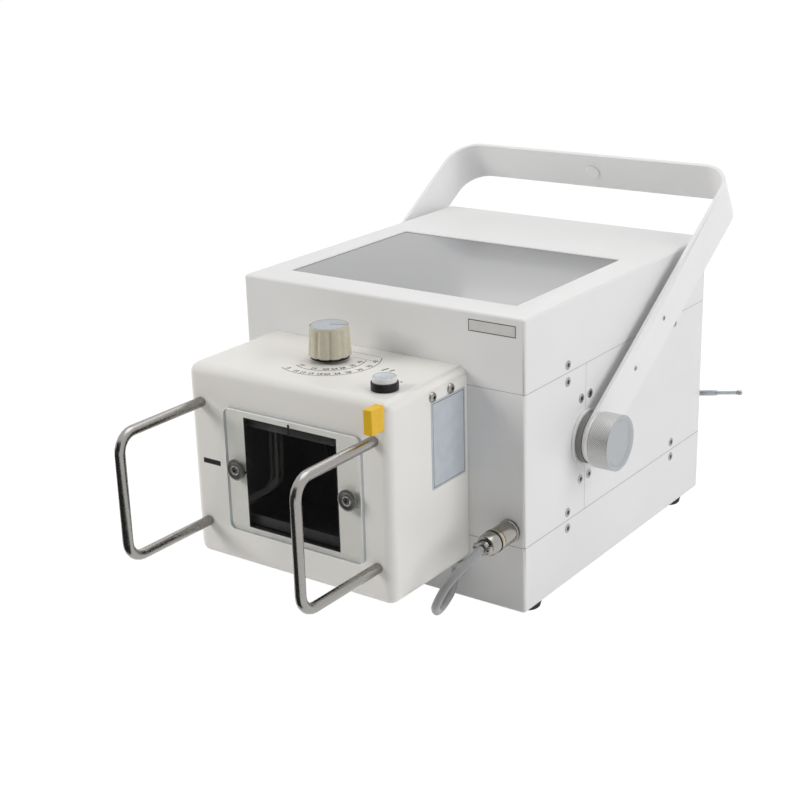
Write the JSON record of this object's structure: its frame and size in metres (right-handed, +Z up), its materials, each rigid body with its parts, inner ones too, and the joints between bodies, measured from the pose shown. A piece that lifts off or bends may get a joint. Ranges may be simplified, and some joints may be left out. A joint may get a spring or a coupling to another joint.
{
  "type": "portable x-ray machine",
  "caption": "White box X-ray unit with a lid touch screen, a windowed collimator between grab handles, a swinging carrying handle and a telescopic antenna.",
  "frame": {"origin": "centre of the base tray's underside; the rubber feet reach 8 mm below it", "axes": "+Z up, -Y the front where the collimator looks, +X the side of the collimator's cable"},
  "size_m": [0.3256, 0.5337, 0.2921],
  "materials": {
    "white_coat": "smooth white powder coat",
    "handle_coat": "smooth white powder coat",
    "cream_paint": "satin creamy white paint",
    "screen_glass": "grey touch glass",
    "display_panel": "dark display panel",
    "black_rubber": "matte black",
    "tube_head_metal": "grey casting",
    "light_box_black": "matte black inside",
    "clear_window": "clear acrylic",
    "dark_steel": "dark turned steel",
    "stainless": "bright brushed stainless steel",
    "beige_plastic": "satin beige",
    "blue_grey_plastic": "satin blue-grey",
    "black_plastic": "satin black",
    "silver_plastic": "silver-white cap",
    "yellow_plastic": "yellow moulded plastic",
    "nickel": "nickel plate",
    "grey_cable": "satin grey jacket",
    "spacer_grey": "matte dark grey",
    "cap_grey": "pale grey plug",
    "knurled_aluminium": "fine diamond knurl, clear anodised",
    "antenna_grey": "satin grey tube"
  },
  "bodies": {
    "root": {"base_tray": "white_coat", "middle_front_cover": "white_coat", "middle_rear_cover": "white_coat", "top_cover": "white_coat", "screen_glass": "screen_glass", "screen_panel": "display_panel", "foot_front_left": "black_rubber", "foot_front_right": "black_rubber", "foot_rear_left": "black_rubber", "foot_rear_right": "black_rubber", "tube_head": "tube_head_metal", "collimator_housing": "cream_paint", "light_box": "light_box_black", "window_plate": "clear_window", "window_screw_left": "dark_steel", "window_screw_right": "dark_steel", "grab_handle_left": "stainless", "grab_handle_right": "stainless", "field_knob": "beige_plastic", "field_knob_cap": "blue_grey_plastic", "button_bezel": "black_plastic", "button_cap": "silver_plastic", "tape_tab": "yellow_plastic", "connector_socket": "nickel", "cable_plug": "nickel", "collimator_cable": "grey_cable", "cable_gland": "grey_cable", "pivot_ring_left": "white_coat", "pivot_ring_right": "white_coat", "pivot_spacer_left": "spacer_grey", "pivot_spacer_right": "spacer_grey", "clamp_knob_left": "knurled_aluminium", "clamp_knob_right": "knurled_aluminium", "power_inlet": "black_plastic", "switch_frame": "black_plastic", "switch_rocker": "black_plastic", "hand_switch_socket": "nickel", "antenna_base": "nickel"},
    "handle": {"carrying_handle": "handle_coat", "handle_cap": "cap_grey"},
    "mast": {"antenna_mast": "antenna_grey"},
    "rod": {"antenna_rod": "antenna_grey", "antenna_tip": "nickel"}
  },
  "joints": [
    {"name": "handle_swing", "type": "hinge", "parent": "root", "child": "handle", "pos_m": [0, -0.0592, 0.114], "axis": [1, 0, 0], "range_deg": [-28, 160]},
    {"name": "antenna_swing", "type": "hinge", "parent": "root", "child": "mast", "pos_m": [0.04, 0.1565, 0.0695], "axis": [0, -1, 0], "range_deg": [-10, 80]},
    {"name": "antenna_slide", "type": "slide", "parent": "mast", "child": "rod", "axis": [0.9839, 0, 0.1788], "range_m": [0, 0.075]}
  ]
}
